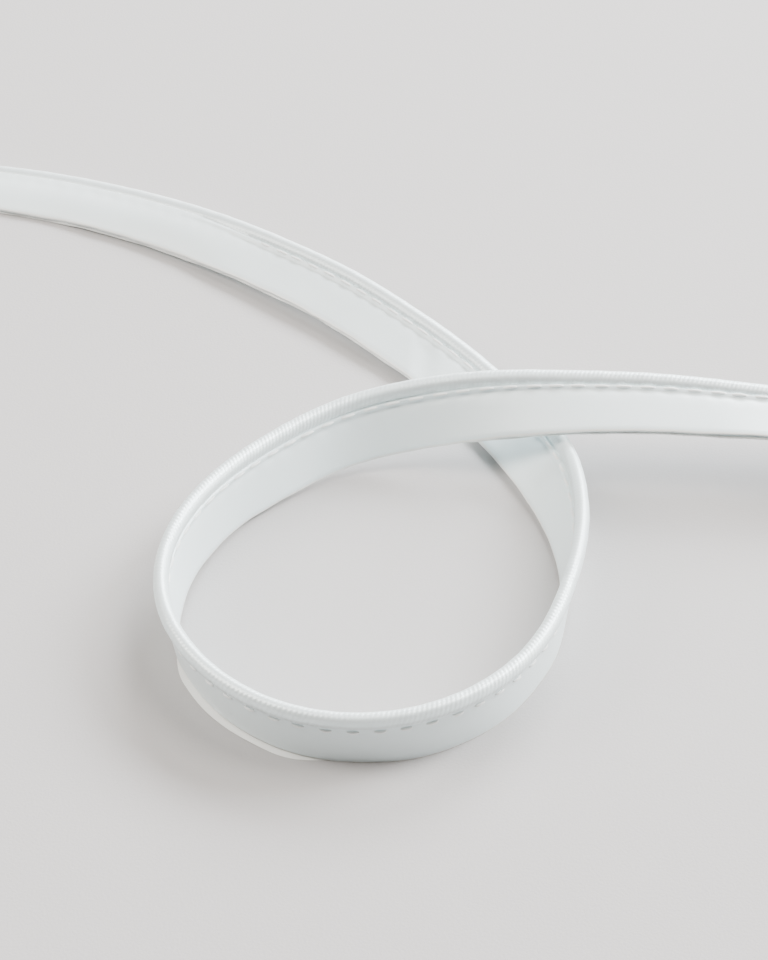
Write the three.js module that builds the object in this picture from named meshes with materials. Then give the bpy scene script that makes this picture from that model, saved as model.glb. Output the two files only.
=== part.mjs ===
// A length of satin piping lying in one loop that crosses over itself.
// The trim is a tape folded round a thin cord and sewn shut, so it has a round
// corded edge and a flat lip. Both tails lie down with the lip nearly flat, and
// between them the trim stands on the edge of its lip round the loop.
// Millimetres, +Z up, Z = 0 is the surface that the trim lies on.
// X and Y are measured from the middle of the trim's footprint.

import * as THREE from 'three';

// Driving dimensions of the trim
const trimWidth = 10;
const cordDiameter = 2.4;
const lipThickness = 1;
const shoulderDrop = 1.7;
const shoulderAngle = 50;

// Fineness of the solid
const stepLength = 3;
const cordArcSegments = 5;

const cordRadius = cordDiameter / 2;
const cordHeight = trimWidth - cordRadius;
const degree = Math.PI / 180;

// The route of the lip's free edge, from the left tail round the loop to the right tail.
// x and y place the edge, lift is its height, and lean tips the trim to the left of the
// route: 0 stands upright, 90 lies flat with the cord on the left. A smooth curve is
// drawn through these rows, about 12 mm apart, and it ends one row inside each end.
const route = [
  { x: -110, y: 64, lift: 0.3, lean: 88 },
  { x: -98.5, y: 60.5, lift: 0.3, lean: 87 },
  { x: -88.5, y: 57, lift: 0.3, lean: 78 },
  { x: -78.5, y: 54.5, lift: 0.4, lean: 77 },
  { x: -68.5, y: 50.5, lift: 0.6, lean: 76 },
  { x: -59, y: 45.5, lift: 0.9, lean: 73 },
  { x: -50, y: 39.5, lift: 1.3, lean: 70 },
  { x: -41, y: 32.5, lift: 1.7, lean: 70 },
  { x: -32.5, y: 25.5, lift: 1.9, lean: 69 },
  { x: -24.5, y: 17.5, lift: 1.6, lean: 70 },
  { x: -16.5, y: 9, lift: 1.2, lean: 72 },
  { x: -10, y: 0, lift: 0.8, lean: 74 },
  { x: -4.5, y: -10, lift: 0.6, lean: 65 },
  { x: 0.5, y: -20.5, lift: 0.5, lean: 33 },
  { x: 3.5, y: -32.5, lift: 0.3, lean: 13 },
  { x: 2, y: -45, lift: 0.1, lean: 3 },
  { x: -2.5, y: -56, lift: -0.2, lean: 4 },
  { x: -11.5, y: -64.5, lift: -0.2, lean: 6 },
  { x: -23, y: -67.5, lift: -0.2, lean: 11 },
  { x: -35, y: -65.5, lift: 0, lean: 11 },
  { x: -44.5, y: -57.5, lift: 0.2, lean: 10 },
  { x: -49.5, y: -46.5, lift: 0.3, lean: 11 },
  { x: -49, y: -34.5, lift: 0.4, lean: 11 },
  { x: -43.5, y: -23.5, lift: 0.4, lean: 13 },
  { x: -34.5, y: -15, lift: 0.5, lean: 20 },
  { x: -24, y: -8.5, lift: 1.4, lean: 27 },
  { x: -11.5, y: -9.5, lift: 4.7, lean: 33 },
  { x: 2, y: -12.5, lift: 9, lean: 67 },
  { x: 15.5, y: -13, lift: 9.7, lean: 71 },
  { x: 28, y: -14.5, lift: 9.9, lean: 79 },
  { x: 40.5, y: -15.5, lift: 9.9, lean: 86 },
  { x: 52.5, y: -17, lift: 8.8, lean: 88 },
  { x: 64, y: -18.5, lift: 6.8, lean: 88 },
  { x: 75.5, y: -21, lift: 3.9, lean: 88 },
  { x: 86.5, y: -23.5, lift: 1.4, lean: 88 },
  { x: 97.5, y: -26, lift: 0.3, lean: 87 },
  { x: 109.5, y: -28.5, lift: 0.2, lean: 87 },
];

// The uniform cubic B-spline through four neighbouring rows, t from 0 to 1 along the route.
function stationAt(rows, t) {
  const spans = rows.length - 3;
  const along = THREE.MathUtils.clamp(t, 0, 1) * spans;
  const first = Math.min(Math.floor(along), spans - 1);
  const f = along - first;
  const weights = [
    (1 - f) ** 3,
    3 * f ** 3 - 6 * f ** 2 + 4,
    -3 * f ** 3 + 3 * f ** 2 + 3 * f + 1,
    f ** 3,
  ];
  const mix = (key) => weights.reduce((sum, w, i) => sum + (w * rows[first + i][key]) / 6, 0);
  return { x: mix('x'), y: mix('y'), lift: mix('lift'), lean: mix('lean') };
}

// The lip's edge as a curve whose frames lean with the trim instead of twisting freely.
class LipEdge extends THREE.Curve {
  constructor(rows) {
    super();
    this.rows = rows;
  }

  getPoint(t, target = new THREE.Vector3()) {
    const station = stationAt(this.rows, t);
    return target.set(station.x, station.y, station.lift);
  }

  computeFrenetFrames(segments) {
    const tangents = [];
    const normals = [];
    const binormals = [];
    for (let i = 0; i <= segments; i += 1) {
      const t = this.getUtoTmapping(i / segments);
      const lean = stationAt(this.rows, t).lean * degree;
      const along = this.getTangent(t);
      const left = new THREE.Vector3(0, 0, 1).cross(along).normalize();
      const upright = along.clone().cross(left);
      const acrossTrim = upright.multiplyScalar(Math.cos(lean)).addScaledVector(left, Math.sin(lean));
      tangents.push(along);
      normals.push(acrossTrim.clone().cross(along).normalize());
      binormals.push(acrossTrim);
    }
    return { tangents, normals, binormals };
  }
}

// The trim cut square across: the lip from y = 0 up, shoulders, and the covered cord on top.
function trimSection() {
  const halfLip = lipThickness / 2;
  const shoulderY = cordHeight - shoulderDrop;
  const arcStart = -shoulderAngle * degree;
  const arcEnd = Math.PI - arcStart;
  const section = new THREE.Shape();
  section.moveTo(-halfLip, 0);
  section.lineTo(halfLip, 0);
  section.lineTo(halfLip, shoulderY);
  section.absarc(0, cordHeight, cordRadius, arcStart, arcEnd, false);
  section.lineTo(-halfLip, shoulderY);
  section.closePath();
  return section;
}

// Whatever would sink below the surface is pressed flat on it, as soft trim is by its weight.
function pressOnSurface(geometry) {
  const position = geometry.getAttribute('position');
  for (let i = 0; i < position.count; i += 1) {
    position.setZ(i, Math.max(position.getZ(i), 0));
  }
  return geometry;
}

function pipingTrim() {
  const edge = new LipEdge(route);
  const geometry = new THREE.ExtrudeGeometry(trimSection(), {
    steps: Math.round(edge.getLength() / stepLength),
    curveSegments: cordArcSegments,
    extrudePath: edge,
  });
  const satin = new THREE.MeshStandardMaterial({ color: 0xe9eeee, roughness: 0.4, metalness: 0 });
  const mesh = new THREE.Mesh(pressOnSurface(geometry), satin);
  mesh.name = 'piping_trim';
  return mesh;
}

const looped = new THREE.Group();
looped.add(pipingTrim());

export default looped;
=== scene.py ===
# %% [markdown]
# # A length of satin piping, looped over itself
# Piping is a narrow tape of satin folded round a thin cord and sewn shut beside it. It is
# sold by the metre to edge cushions and clothes: the round corded edge shows in the seam,
# and the flat lip is sewn in. This lesson dresses one looped length of it. Everything is
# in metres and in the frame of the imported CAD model, so nothing has to be fitted.

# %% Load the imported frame
import math

import bpy
import numpy as np
from mathutils import Matrix


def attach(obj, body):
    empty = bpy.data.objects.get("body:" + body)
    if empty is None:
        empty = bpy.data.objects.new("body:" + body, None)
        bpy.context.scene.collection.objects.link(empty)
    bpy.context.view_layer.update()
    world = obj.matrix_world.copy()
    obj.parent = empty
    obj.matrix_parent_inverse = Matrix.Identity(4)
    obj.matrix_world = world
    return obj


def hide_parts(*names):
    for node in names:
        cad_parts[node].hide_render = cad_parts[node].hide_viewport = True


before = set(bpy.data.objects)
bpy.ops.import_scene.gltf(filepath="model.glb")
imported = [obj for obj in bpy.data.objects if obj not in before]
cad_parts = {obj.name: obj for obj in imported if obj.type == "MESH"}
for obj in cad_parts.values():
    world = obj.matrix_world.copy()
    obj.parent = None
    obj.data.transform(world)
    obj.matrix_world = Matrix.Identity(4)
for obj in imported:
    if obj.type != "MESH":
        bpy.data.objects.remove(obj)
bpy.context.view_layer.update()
MM = 0.001
print("packed nodes:", sorted(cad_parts))

# %% [markdown]
# ## The camera
# The photograph looks down on the loop at 40 degrees through a long lens. The camera aims
# at a point on the surface near the middle of the loop, so the lens needs no shift.

# %% Place the camera
PHOTO_HEIGHT_PX = 960
FOCAL_PX = 2450
SENSOR = 36
AIM = (-21.5 * MM, -12 * MM, 0)
CAMERA_DISTANCE = 350 * MM
CAMERA_ELEVATION = math.radians(40)

bpy.ops.object.select_all(action="DESELECT")
bpy.ops.object.camera_add(
    location=(
        AIM[0],
        AIM[1] - CAMERA_DISTANCE * math.cos(CAMERA_ELEVATION),
        AIM[2] + CAMERA_DISTANCE * math.sin(CAMERA_ELEVATION),
    ),
    rotation=(math.pi / 2 - CAMERA_ELEVATION, 0, 0),
)
camera = bpy.context.object
camera.name = "photo_camera"
camera.data.sensor_width = SENSOR
camera.data.lens = FOCAL_PX / PHOTO_HEIGHT_PX * SENSOR
camera.data.clip_start = 10 * MM
bpy.context.scene.camera = camera
print("lens in mm:", round(camera.data.lens, 2))

# %% [markdown]
# ## Sums for shaders
# A finish is a small tree of nodes. Wiring Math nodes one by one hides the sum they make,
# so this class wraps a socket and lets the sum be written as Python: `1 - mask * 0.2` adds
# its own Math nodes. Colours go through Mix nodes, because a Math node turns them grey.

# %% A socket that does sums, and a finish that makes nodes
class Wire:
    """The output of a node, which can be added, subtracted and multiplied."""

    def __init__(self, finish, socket):
        self.finish = finish
        self.socket = socket

    def maths(self, operation, first, second):
        return self.finish.node("ShaderNodeMath", {"operation": operation}, {0: first, 1: second})

    def __add__(self, other):
        return self.maths("ADD", self, other)

    def __radd__(self, other):
        return self.maths("ADD", other, self)

    def __sub__(self, other):
        return self.maths("SUBTRACT", self, other)

    def __rsub__(self, other):
        return self.maths("SUBTRACT", other, self)

    def __mul__(self, other):
        return self.maths("MULTIPLY", self, other)

    def __rmul__(self, other):
        return self.maths("MULTIPLY", other, self)


class Finish:
    """A new material, with short ways to add nodes to it."""

    def __init__(self, name):
        self.material = bpy.data.materials.new(name)
        self.material.use_nodes = True
        self.tree = self.material.node_tree
        self.shader = self.tree.nodes["Principled BSDF"]

    def plug(self, socket, value):
        if isinstance(value, Wire):
            self.tree.links.new(value.socket, socket)
        else:
            socket.default_value = value

    def node(self, kind, settings=None, inputs=None, output=0):
        made = self.tree.nodes.new(kind)
        for key, value in (settings or {}).items():
            setattr(made, key, value)
        for key, value in (inputs or {}).items():
            self.plug(made.inputs[key], value)
        return Wire(self, made.outputs[output])

    def split(self, vector):
        """The three parts of a vector."""
        first = self.node("ShaderNodeSeparateXYZ", None, {0: vector})
        return [Wire(self, part) for part in first.socket.node.outputs]

    def sine(self, value):
        return self.node("ShaderNodeMath", {"operation": "SINE"}, {0: value})

    def band(self, value, low, high, soft):
        """1 between low and high, fading out over a width of soft."""
        settings = {"interpolation_type": "SMOOTHSTEP"}
        rise = self.node("ShaderNodeMapRange", settings, {0: value, 1: low - soft, 2: low})
        fall = self.node("ShaderNodeMapRange", settings, {0: value, 1: high, 2: high + soft})
        return rise * (1 - fall)

    def mix(self, share, first, second):
        settings = {"data_type": "RGBA"}
        return self.node("ShaderNodeMix", settings, {0: share, 6: first, 7: second}, output=2)

    def noise(self, vector, scale, detail=2.0):
        inputs = {"Vector": vector, "Scale": scale, "Detail": detail}
        return self.node("ShaderNodeTexNoise", None, inputs, output="Fac")

    def bump(self, height, strength, distance):
        inputs = {"Height": height, "Strength": strength, "Distance": distance}
        return self.node("ShaderNodeBump", None, inputs)

    def wear(self, **sockets):
        """Plug values or wires into the shader, base_color for Base Color."""
        for key, value in sockets.items():
            self.plug(self.shader.inputs[key.replace("_", " ").title()], value)
        return self.material


print("finishes are made from", Finish.__name__, "and", Wire.__name__)

# %% [markdown]
# ## Surface and light
# The trim lies on a smooth, pale surface. Two soft, slightly cool windows stand behind it
# to the right, so the standing loop throws a broad shadow to the left and towards the
# camera. Weaker, warmer light from above, from both sides and low from behind rounds the
# cord, and a faint warm world tints the shadows. Each light is placed by its bearing from
# the middle of the trim.

# %% Make the surface
FLOOR_SIZE = 3.0
FLOOR_DROP = 0.03 * MM
FLOOR_GREYS = [(0.472, 0.466, 0.466, 1), (0.452, 0.451, 0.452, 1)]
GRAIN_DEPTH = 0.2 * MM

bpy.ops.object.select_all(action="DESELECT")
bpy.ops.mesh.primitive_plane_add(size=FLOOR_SIZE, location=(0, 0, -FLOOR_DROP))
surface = bpy.context.object
surface.name = "table_surface"
bpy.ops.object.transform_apply(location=True, rotation=False, scale=False)

paper = Finish("pale_matt_surface")
place = paper.node("ShaderNodeTexCoord", output="Object")
clouds = paper.noise(place, 14.0, 3.0)
grain = paper.noise(place, 2600.0, 2.0)
surface.data.materials.append(
    paper.wear(
        base_color=paper.mix(clouds, *FLOOR_GREYS),
        roughness=0.75,
        normal=paper.bump(grain, 0.2, GRAIN_DEPTH),
    )
)
print("surface", FLOOR_SIZE, "m across")

# %% Hang the lights
LIGHT_DISTANCE = 1.2
COOL_WHITE = (0.97, 0.98, 1.0)
WARM_WHITE = (1.0, 0.93, 0.87)
LIGHTS = [
    # name, degrees from +X towards +Y, degrees up, metres across, watts, colour
    ("window_right", 22, 36, 0.55, 30.5, COOL_WHITE),
    ("window_behind", 66, 36, 0.6, 24.5, COOL_WHITE),
    ("ceiling_right", 0, 62, 0.55, 11.5, WARM_WHITE),
    ("wall_left", 180, 36, 0.6, 12.5, WARM_WHITE),
    ("ceiling_left", 200, 62, 0.6, 8.5, WARM_WHITE),
    ("low_right", 0, 12, 0.6, 9.0, WARM_WHITE),
    ("low_behind", 90, 12, 0.6, 5.0, WARM_WHITE),
]
WORLD_COLOUR = (1.0, 0.88, 0.8, 1)
WORLD_STRENGTH = 0.11


def hang_light(name, bearing, elevation, size, watts, colour):
    """A soft round light that faces the middle of the trim."""
    turn, rise = math.radians(bearing), math.radians(elevation)
    location = (
        LIGHT_DISTANCE * math.cos(rise) * math.cos(turn),
        LIGHT_DISTANCE * math.cos(rise) * math.sin(turn),
        LIGHT_DISTANCE * math.sin(rise),
    )
    bpy.ops.object.select_all(action="DESELECT")
    bpy.ops.object.light_add(
        type="AREA", location=location, rotation=(math.pi / 2 - rise, 0, turn + math.pi / 2)
    )
    light = bpy.context.object
    light.name = name
    light.data.shape = "DISK"
    light.data.size = size
    light.data.energy = watts
    light.data.color = colour
    print("light", name, watts, "W")


for light_row in LIGHTS:
    hang_light(*light_row)

world = bpy.data.worlds.new("warm_room")
world.use_nodes = True
room_light = world.node_tree.nodes["Background"]
room_light.inputs["Color"].default_value = WORLD_COLOUR
room_light.inputs["Strength"].default_value = WORLD_STRENGTH
bpy.context.scene.world = world

# %% [markdown]
# ## The route
# Trim that was wound on a card springs into a loop when it is laid down. Its shape is
# given by the free edge of the lip: where it runs, how high it is, and how far the trim
# leans to the left of its route. 0 degrees stands upright on the edge, and 90 lies flat.
# These are the rows of the CAD model, and the same smooth curve runs through them here.

# %% The rows of the route, in millimetres and degrees
STATION_STEP = 0.4
CURVE_SAMPLES = 8001
ROUTE = [
    # x, y, lift, lean
    (-110, 64, 0.3, 88), (-98.5, 60.5, 0.3, 87), (-88.5, 57, 0.3, 78), (-78.5, 54.5, 0.4, 77),
    (-68.5, 50.5, 0.6, 76), (-59, 45.5, 0.9, 73), (-50, 39.5, 1.3, 70), (-41, 32.5, 1.7, 70),
    (-32.5, 25.5, 1.9, 69), (-24.5, 17.5, 1.6, 70), (-16.5, 9, 1.2, 72), (-10, 0, 0.8, 74),
    (-4.5, -10, 0.6, 65), (0.5, -20.5, 0.5, 33), (3.5, -32.5, 0.3, 13), (2, -45, 0.1, 3),
    (-2.5, -56, -0.2, 4), (-11.5, -64.5, -0.2, 6), (-23, -67.5, -0.2, 11), (-35, -65.5, 0, 11),
    (-44.5, -57.5, 0.2, 10), (-49.5, -46.5, 0.3, 11), (-49, -34.5, 0.4, 11),
    (-43.5, -23.5, 0.4, 13), (-34.5, -15, 0.5, 20), (-24, -8.5, 1.4, 27), (-11.5, -9.5, 4.7, 33),
    (2, -12.5, 9, 67), (15.5, -13, 9.7, 71), (28, -14.5, 9.9, 79), (40.5, -15.5, 9.9, 86),
    (52.5, -17, 8.8, 88), (64, -18.5, 6.8, 88), (75.5, -21, 3.9, 88), (86.5, -23.5, 1.4, 88),
    (97.5, -26, 0.3, 87), (109.5, -28.5, 0.2, 87),
]


def stations_at(row_number):
    """The uniform cubic B-spline through four neighbouring rows; returns values and slopes."""
    rows = np.array(ROUTE, float)
    spans = len(rows) - 3
    along = np.clip(np.asarray(row_number, float) - 1, 0, spans)
    first = np.minimum(along.astype(int), spans - 1)
    f = (along - first)[:, None]
    near = [rows[first + i] for i in range(4)]
    value = (1 - f) ** 3 * near[0] + (3 * f**3 - 6 * f**2 + 4) * near[1]
    value += (-3 * f**3 + 3 * f**2 + 3 * f + 1) * near[2] + f**3 * near[3]
    slope = -3 * (1 - f) ** 2 * near[0] + (9 * f**2 - 12 * f) * near[1]
    slope += (-9 * f**2 + 6 * f + 3) * near[2] + 3 * f**2 * near[3]
    return value / 6, slope / 6


def even_rows(step):
    """Row numbers a fixed distance apart along the lip's edge, and the distances."""
    fine = np.linspace(1, len(ROUTE) - 2, CURVE_SAMPLES)
    points = stations_at(fine)[0][:, :3]
    run = np.concatenate([[0], np.cumsum(np.linalg.norm(np.diff(points, axis=0), axis=1))])
    count = int(round(run[-1] / step))
    distance = np.linspace(0, run[-1], count + 1)
    return np.interp(distance, run, fine), distance


def frames_at(row_number):
    """Place, and the directions along, off the face and across the trim, at each row number."""
    value, slope = stations_at(row_number)
    along = slope[:, :3] / np.linalg.norm(slope[:, :3], axis=1)[:, None]
    left = np.cross([0.0, 0.0, 1.0], along)
    left /= np.linalg.norm(left, axis=1)[:, None]
    upright = np.cross(along, left)
    lean = np.radians(value[:, 3])[:, None]
    across = np.cos(lean) * upright + np.sin(lean) * left
    off = np.cross(across, along)
    return value[:, :3], along, off, across


rows_along, distance_along = even_rows(STATION_STEP)
trim_length = distance_along[-1]
print("route", len(ROUTE), "rows, lip edge", round(trim_length, 1), "mm")

# %% [markdown]
# ## The folded tape
# The real tape is one strip of satin, so one closed skin is drawn here: down the inside of
# one lip layer, round its cut edge, up the outside, over the cord and down the other layer
# the same way. A narrow slit stays open between the two layers. The cord is pressed a
# little flat. Below it the sewing shows as a shallow hollow on the outer layer of the
# loop, and as a raised line with a groove under it on the inner one. Each point is given
# by how far it is off the middle of the lip, and how far it is across the trim, from the
# free edge at 0 to the top of the cord.

# %% The section of the folded tape, in millimetres
TRIM_WIDTH = 10.0
CORD_DIAMETER = 2.4
CORD_FLATNESS = 0.85
CORD_POINTS = 19
SHOULDER_ANGLE = 50
HALF_LIP = 0.5
CORD_RADIUS = CORD_DIAMETER / 2
CORD_HEIGHT = TRIM_WIDTH - CORD_RADIUS
SLIT_BOTTOM = (0.0, 6.7)
FACE_OFF = 0.3


def folded_section():
    """Points off the face and across the trim, from the bottom of the slit all the way round."""
    arc = np.radians(np.linspace(-SHOULDER_ANGLE, 180 + SHOULDER_ANGLE, CORD_POINTS))
    half_cord = CORD_FLATNESS * CORD_RADIUS
    cord = [(half_cord * math.cos(a), CORD_HEIGHT + CORD_RADIUS * math.sin(a)) for a in arc]
    outer_layer = [
        (0.03, 5.8), (0.06, 3.0), (0.08, 1.0), (0.11, 0.14), (0.18, 0.02), (0.38, 0.0),
        (0.47, 0.1), (HALF_LIP, 1.0), (HALF_LIP, 2.4), (HALF_LIP, 3.8), (HALF_LIP, 5.2),
        (0.49, 6.1), (0.46, 6.55), (0.45, 7.0), (0.44, 7.35), (0.46, 7.66),
    ]
    inner_layer = [
        (-0.37, 7.68), (-0.4, 7.55), (-0.62, 7.4), (-0.62, 7.14), (-0.38, 6.9), (-0.32, 6.66),
        (-0.42, 6.3), (-0.5, 5.6), (-HALF_LIP, 4.6), (-HALF_LIP, 3.4), (-HALF_LIP, 2.2),
        (-HALF_LIP, 1.0), (-0.47, 0.1), (-0.38, 0.0), (-0.18, 0.02), (-0.11, 0.14),
        (-0.08, 1.0), (-0.06, 3.0), (-0.03, 5.8),
    ]
    return np.array([SLIT_BOTTOM, *outer_layer, *cord, *inner_layer])


section = folded_section()
point_off, point_across = section.T
side = np.sign(point_off)
outside = np.abs(point_off) > FACE_OFF
print("section", len(section), "points")

# %% [markdown]
# Nothing sewn is perfectly even. Each stitch pinches the lip a little, the free edge waves,
# and the two layers part here and there. Sums of slow sines with lengths that don't divide
# each other give this without any chance, so the script makes the same trim every time.
# Each function below gives the shifts of the section's points, off the face and across the
# trim, at every station.

# %% Waves and puckers, in millimetres
STITCH_PITCH = 3.2
LOOSE_HEIGHT = 6.5
EDGE_WAVE = 0.16
EDGE_GAP = 0.05
CUT_HEIGHT = 0.2
CUT_WAVE = 0.07
LAYER_LAG = 4
SEAM_HEIGHT = 6.6
SEAM_WIDTH = 0.75
SEAM_PINCH = 0.035
SEAM_WAVE = 0.04
CORD_FOOT = 7.7
CORD_FADE = 0.6
CORD_WAVE = 0.022
CORD_PINCH = 0.012


def waves(distance, *lengths):
    """A wandering value from about -1 to 1, from sines of these wavelengths in millimetres."""
    parts = [np.sin(2 * math.pi * distance / length + 1.7 * i) for i, length in enumerate(lengths)]
    return sum(parts) / len(parts)


def stitch_beat(distance):
    """1 at each stitch and -1 halfway to the next one."""
    return np.cos(2 * math.pi * distance / STITCH_PITCH)


def hump(value, middle, width):
    """1 in the middle, falling away smoothly over the width."""
    return np.exp(-(((value - middle) / width) ** 2))


def loose_edge(distance):
    """The lip wanders and its layers part towards the free edge, which is cut unevenly."""
    toward_edge = np.clip(1 - point_across / LOOSE_HEIGHT, 0, 1) ** 2
    wander = EDGE_WAVE * waves(distance, 37, 23, 13.7)
    parting = EDGE_GAP * (1 + waves(distance, 29, 17.3)) * side
    uneven_cut = CUT_WAVE * waves(distance + LAYER_LAG * side, 19, 11.3, 5.9)
    return (wander + parting) * toward_edge, uneven_cut * (point_across < CUT_HEIGHT)


def pinched_seam(distance):
    """Both faces rise and fall with the stitches along the line of sewing."""
    pinch = outside * hump(point_across, SEAM_HEIGHT, SEAM_WIDTH)
    rise = SEAM_PINCH * stitch_beat(distance) + SEAM_WAVE * waves(distance, 9.1, 15.7)
    return -side * rise * pinch, 0


def uneven_cord(distance):
    """The cord is a little fuller in some places than in others."""
    swell = np.clip((point_across - CORD_FOOT) / CORD_FADE, 0, 1)
    fuller = CORD_WAVE * waves(distance, 8.3, 5.1, 21) + CORD_PINCH * stitch_beat(distance)
    amount = fuller * swell / CORD_RADIUS
    return point_off * amount, (point_across - CORD_HEIGHT) * amount


print("layers part by up to", 4 * EDGE_GAP, "mm")

# %% [markdown]
# Three places are special. A slanting join crosses the left tail, as a low ridge with a
# shallow hollow beside it. On the end of that tail the sewing sinks into the cloth, and the
# tail is bowed, so its lower half turns away from the windows. At the front left of the
# loop the inner layer is longer, and its edge turns out below the outer one as a rim.

# %% Join, tail end and rim, in millimetres and row numbers
JOIN_ROW = 9.85
JOIN_SLANT = 0.85
JOIN_TOP = 6.3
RIDGE_HEIGHT, RIDGE_WIDTH = 0.1, 0.45
HOLLOW_DEPTH, HOLLOW_PLACE, HOLLOW_WIDTH = 0.28, 3.2, 2.0
TAIL_END_ROWS = (5.0, 7.0)
TAIL_BOW = 0.9
GROOVE_HEIGHT, GROOVE_REACH = 7.05, 0.8
FILLED_FROM, FILLED_SLOPE = 6.2, 0.18
RIM_START_ROWS = (18.1, 19.0)
RIM_END_ROWS = (20.4, 21.2)
RIM_SHIFTS = [
    # a point of the section, off and across, and its shift, off and across
    (-0.47, 0.1, 0.05, 0), (-0.38, 0.0, 1.75, 0.02), (-0.18, 0.02, 1.6, 0.28),
    (-0.11, 0.14, 0.2, 0.3), (-0.08, 1.0, 0, 0.05), (0.11, 0.14, 0.08, 0.62),
    (0.18, 0.02, 0.05, 0.6), (0.38, 0.0, 0.05, 0.6), (0.47, 0.1, 0.03, 0.6),
    (0.08, 1.0, 0.05, 0.1),
]


def smooth_between(value, low, high):
    share = np.clip((value - low) / (high - low), 0, 1)
    return share * share * (3 - 2 * share)


def soft_end(row_number):
    """1 on the end of the left tail, where the sewing sinks into the cloth, and 0 past it."""
    return 1 - smooth_between(row_number, *TAIL_END_ROWS)


def slanting_join(distance, join_distance):
    """A low ridge across the inner layer, with a shallow hollow beside it."""
    past_join = distance + JOIN_SLANT * point_across - join_distance
    hollow = HOLLOW_DEPTH * hump(past_join, HOLLOW_PLACE, HOLLOW_WIDTH)
    ridge = RIDGE_HEIGHT * hump(past_join, 0, RIDGE_WIDTH)
    return (hollow - ridge) * (side < 0) * (point_across < JOIN_TOP), 0


def tail_end(row_number):
    """The groove of the sewing filled up, and the whole tail bowed."""
    groove = (side < 0) * outside * (np.abs(point_across - GROOVE_HEIGHT) < GROOVE_REACH)
    filled_face = -(HALF_LIP + FILLED_SLOPE * np.clip(point_across - FILLED_FROM, 0, 2))
    bow = TAIL_BOW * np.sin(math.pi * np.clip(point_across / CORD_HEIGHT, 0, 1))
    return soft_end(row_number) * ((filled_face - point_off) * groove - bow), 0


def turned_rim(row_number):
    """The inner layer's edge drawn out below the outer one, which is lifted to let it pass."""
    started = smooth_between(row_number, *RIM_START_ROWS)
    ended = smooth_between(row_number, *RIM_END_ROWS)
    amount = started * (1 - ended)
    shifts = np.zeros_like(section)
    for from_off, from_across, shift_off, shift_across in RIM_SHIFTS:
        nearest = np.argmin(np.hypot(point_off - from_off, point_across - from_across))
        shifts[nearest] = shift_off, shift_across
    return amount * shifts[:, 0], amount * shifts[:, 1]


def uneven_section(distance, row_number):
    """The section at every station: arrays of station by point, off the face and across."""
    join_distance = np.interp(JOIN_ROW, row_number, distance)
    distance, row_number = distance[:, None], row_number[:, None]
    shifts = [
        loose_edge(distance),
        pinched_seam(distance),
        uneven_cord(distance),
        slanting_join(distance, join_distance),
        tail_end(row_number),
        turned_rim(row_number),
    ]
    off = point_off + sum(shift[0] for shift in shifts)
    across = point_across + sum(shift[1] for shift in shifts)
    return off, across


section_off, section_across = uneven_section(distance_along, rows_along)
print("stations", len(distance_along))

# %% [markdown]
# The section is swept along the route in mesh code, because every station leans and
# puckers a little differently. What would sink below the surface is pressed flat on it.
# Each point also keeps its place on the cloth, which the weave and the ribs follow.

# %% Sweep the section along the route
SMOOTH_ANGLE = math.radians(50)


def sweep_tape():
    """The skin through every station, closed at both ends."""
    place, _, off, across = frames_at(rows_along)
    points = place[:, None, :] + section_off[..., None] * off[:, None, :]
    points = points + section_across[..., None] * across[:, None, :]
    points[..., 2] = np.maximum(points[..., 2], 0)
    stations, around = points.shape[:2]
    faces = []
    for i in range(stations - 1):
        for k in range(around):
            a, b = i * around + k, i * around + (k + 1) % around
            faces.append((a, b, b + around, a + around))
    faces.append(tuple(range(around - 1, -1, -1)))
    faces.append(tuple(range((stations - 1) * around, stations * around)))
    mesh = bpy.data.meshes.new("piping_tape")
    mesh.from_pydata((points.reshape(-1, 3) * MM).tolist(), [], faces)
    mesh.update()
    return mesh


def mark_cloth(mesh):
    """Millimetres along the trim, round the tape and across the trim, at every point."""
    girth = np.concatenate([[0], np.cumsum(np.linalg.norm(np.diff(section, axis=0), axis=1))])
    marks = np.zeros((len(distance_along), len(section), 3))
    marks[..., 0] = distance_along[:, None]
    marks[..., 1] = girth
    marks[..., 2] = point_across
    layer = mesh.attributes.new("cloth_mm", "FLOAT_VECTOR", "POINT")
    layer.data.foreach_set("vector", marks.ravel())


tape_mesh = sweep_tape()
mark_cloth(tape_mesh)
tape = bpy.data.objects.new("satin_tape", tape_mesh)
bpy.context.scene.collection.objects.link(tape)
bpy.ops.object.select_all(action="DESELECT")
tape.select_set(True)
bpy.context.view_layer.objects.active = tape
bpy.ops.object.shade_smooth_by_angle(angle=SMOOTH_ANGLE)
print("tape", sum(len(p.vertices) - 2 for p in tape_mesh.polygons), "triangles")

# %% [markdown]
# ## The satin
# Satin is woven so that long threads lie on its face, which gives the soft shine. Piping
# tape is cut on the bias, so the threads cross it at 45 degrees, and where it is pulled
# round the cord it shows fine ribs and shines a little more. Low on the cord's flanks a
# grey is painted into the colour as shade.
# The pattern reads millimetres along and across the tape from the mesh, so it bends with
# the loop. The raw edges are a little warmer.

# %% Weave, ribs and shine, in millimetres
RIB_PITCH = 0.62
RIB_SLANT = 0.35
WEAVE_PITCH = 0.3
RIBBED_FROM = 7.75
# heights low on the cord's flank where a grey is painted in as shade
PAINTED_SHADE_FLANK = (7.95, 8.7)
RAW_EDGE_TO = 0.45
PAST_THE_TOP = 11.0
SATIN_DEPTH = 0.06 * MM
SATIN_WHITES = [(0.815, 0.93, 0.95, 1), (0.845, 0.955, 0.975, 1)]
FLANK_SHADE_GREY = (0.62, 0.69, 0.7, 1)
RAW_EDGE_WHITE = (0.86, 0.84, 0.79, 1)


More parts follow.
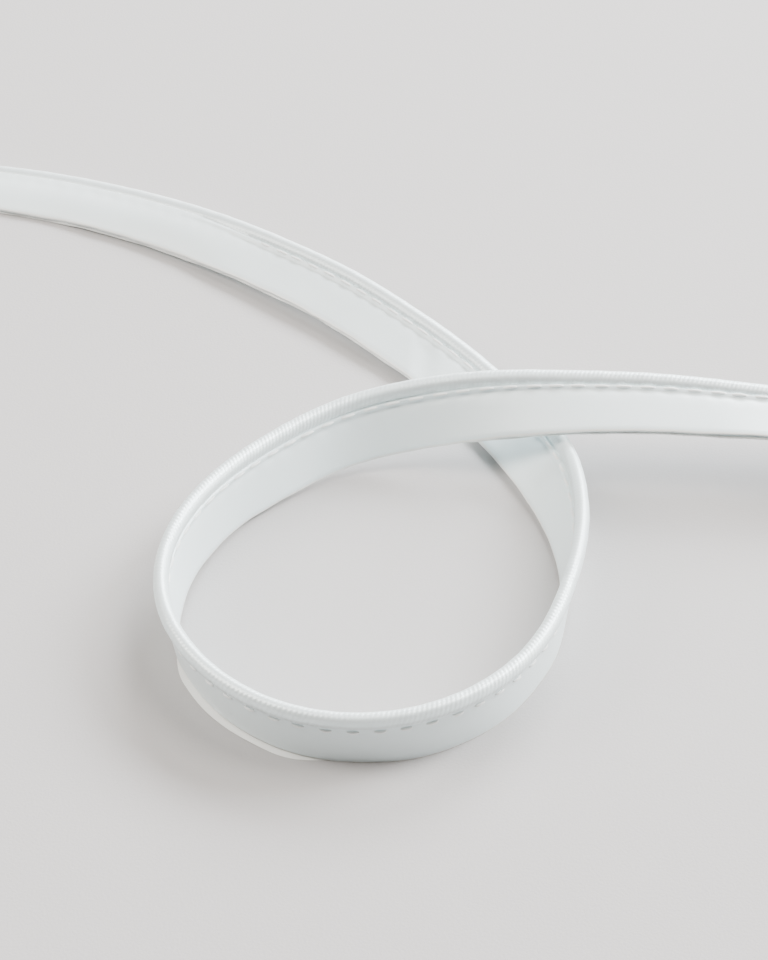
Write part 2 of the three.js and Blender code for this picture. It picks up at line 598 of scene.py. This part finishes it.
def satin_finish():
    satin = Finish("white_satin")
    cloth = satin.node("ShaderNodeAttribute", {"attribute_name": "cloth_mm"}, output="Vector")
    along, around, height = satin.split(cloth)

    on_cord = satin.band(height, RIBBED_FROM, PAST_THE_TOP, 0.25)
    ribs = satin.sine((along + around * RIB_SLANT) * (2 * math.pi / RIB_PITCH)) * on_cord
    threads = satin.sine((along - around) * (2 * math.pi / WEAVE_PITCH))
    slubs = satin.noise(cloth, 1.6, 3.0)
    relief = ribs * 0.6 + threads * 0.06 + slubs * 0.2

    mottle = satin.noise(cloth, 0.12, 2.0)
    raw_edge = 1 - satin.band(height, RAW_EDGE_TO, PAST_THE_TOP, 0.35)
    # painted shade: grey mixed into the satin low on the cord's flanks, where shade falls
    painted_flank_shade = satin.band(height, *PAINTED_SHADE_FLANK, 0.4)
    white = satin.mix(painted_flank_shade * 0.5, satin.mix(mottle, *SATIN_WHITES), FLANK_SHADE_GREY)
    satin.wear(
        base_color=satin.mix(raw_edge * 0.6, white, RAW_EDGE_WHITE),
        roughness=0.38 + slubs * 0.1,
        metallic=0.1 + on_cord * 0.22,
        normal=satin.bump(relief, 0.32, SATIN_DEPTH),
        sheen_weight=0.15,
        sheen_roughness=0.4,
    )
    return satin.material


tape_mesh.materials.append(satin_finish())
print("satin finish on", tape.name)

# %% [markdown]
# ## The sewing
# One line of stitches holds the fold shut. On one side of the lip it shows as a row of
# short dashes, and on the other as long plump stitches on a raised line. One stitch of
# each kind is modelled, and each copy is set in the cloth at its place along the route.

# %% Model a short and a long stitch, in millimetres
SHORT_STITCH = {"length": 1.6, "radius": 0.18}
LONG_STITCH = {"length": 2.6, "radius": 0.21}
STITCH_SIDES = 8
TIP_SIZE = 0.6
TIP_DROP = 0.77
STITCH_RINGS = [
    # share of the length, rise in thread radii, and size against the ring before
    (0.12, 0.54, 1.5), (0.2, 0.38, 1.2), (0.36, 0, 1.0), (0.2, -0.38, 0.83), (0.12, -0.54, 0.67),
]


def model_stitch(length, radius):
    """One stitch: a ring drawn out along X, swelling in the middle and closed at its ends."""
    x, z = -length / 2 * MM, -TIP_DROP * radius * MM
    bpy.ops.object.select_all(action="DESELECT")
    bpy.ops.mesh.primitive_circle_add(
        vertices=STITCH_SIDES, radius=radius * TIP_SIZE * MM, fill_type="NGON",
        location=(x, 0, z), rotation=(0, math.pi / 2, 0),
    )
    stitch = bpy.context.object
    bpy.ops.object.transform_apply(location=True, rotation=True, scale=True)
    bpy.ops.object.mode_set(mode="EDIT")
    bpy.ops.mesh.select_all(action="SELECT")
    for share, rise, size in STITCH_RINGS:
        move = (share * length * MM, 0, rise * radius * MM)
        x, z = x + move[0], z + move[2]
        bpy.ops.mesh.extrude_region_move(TRANSFORM_OT_translate={"value": move})
        bpy.ops.transform.resize(value=(1, size, size), center_override=(x, 0, z))
    bpy.ops.mesh.select_all(action="SELECT")
    bpy.ops.mesh.normals_make_consistent(inside=False)
    bpy.ops.object.mode_set(mode="OBJECT")
    bpy.ops.object.shade_smooth()
    return stitch


short_stitch = model_stitch(**SHORT_STITCH)
long_stitch = model_stitch(**LONG_STITCH)
print("each stitch has", len(short_stitch.data.polygons), "faces")

# %% Sew along the route, in millimetres
DASH_PLACE = {"off_face": 0.54, "height": 7.0, "facing": 1}
BEAD_PLACE = {"off_face": 0.56, "height": 7.26, "facing": -1}
PITCH_WAVE = 0.12
LIFT_WAVE = 0.02
SUNK = 0.45


def sew(pattern, name, off_face, height, facing):
    """Copies of a stitch, one each pitch, joined; facing is 1 on the outer layer, -1 on the inner."""
    starts = np.arange(STITCH_PITCH, trim_length - STITCH_PITCH, STITCH_PITCH)
    starts = starts + PITCH_WAVE * waves(starts, 7.7, 4.3)
    row_number = np.interp(starts, distance_along, rows_along)
    place, along, off, across = frames_at(row_number)
    lift = off_face + LIFT_WAVE * waves(starts, 12.1, 6.7) - SUNK * soft_end(row_number)
    outward = off * facing
    centres = place + outward * lift[:, None] + across * height
    copies = []
    for centre, x_axis, z_axis in zip(centres, along, outward):
        copy = pattern.copy()
        copy.data = pattern.data.copy()
        turned = Matrix(np.array([x_axis, np.cross(z_axis, x_axis), z_axis]).T.tolist())
        copy.matrix_world = Matrix.Translation(centre * MM) @ turned.to_4x4()
        bpy.context.scene.collection.objects.link(copy)
        copies.append(copy)
    bpy.data.objects.remove(pattern)
    bpy.ops.object.select_all(action="DESELECT")
    for copy in copies:
        copy.select_set(True)
    bpy.context.view_layer.objects.active = copies[0]
    bpy.context.view_layer.update()
    bpy.ops.object.join()
    stitch_row = bpy.context.object
    stitch_row.name = name
    bpy.ops.object.transform_apply(location=True, rotation=True, scale=True)
    print(name, len(copies), "stitches")
    return stitch_row


dash_row = sew(short_stitch, "stitch_dashes", **DASH_PLACE)
bead_row = sew(long_stitch, "stitch_bead", **BEAD_PLACE)

# %% [markdown]
# The thread is white polyester, a little paler than the satin and less shiny. Its twist is
# far too fine to model on hundreds of stitches, so a fine uneven bump stands for it.

# %% Finish the thread
THREAD_WHITES = [(0.89, 0.93, 0.92, 1), (0.94, 0.97, 0.96, 1)]
FIBRE_DEPTH = 0.04 * MM


def thread_finish():
    thread = Finish("white_thread")
    place = thread.node("ShaderNodeTexCoord", output="Object")
    fibres = thread.noise(place, 4200.0, 2.0)
    thread.wear(
        base_color=thread.mix(fibres, *THREAD_WHITES),
        roughness=0.4 + fibres * 0.15,
        normal=thread.bump(fibres, 0.3, FIBRE_DEPTH),
    )
    return thread.material


thread_material = thread_finish()
for stitch_row in (dash_row, bead_row):
    stitch_row.data.materials.clear()
    stitch_row.data.materials.append(thread_material)
print("thread finish on", dash_row.name, "and", bead_row.name)

# %% [markdown]
# The tape stands for the plain CAD solid, which is hidden, and it is as long as its lip.
# Its width before it was folded is both lips and the run over the cord. The stitches ride
# on the same body.

for piece in (tape, dash_row, bead_row):
    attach(piece, "root")
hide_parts("piping_trim")
print("flat tape", round(trim_length), "mm long")
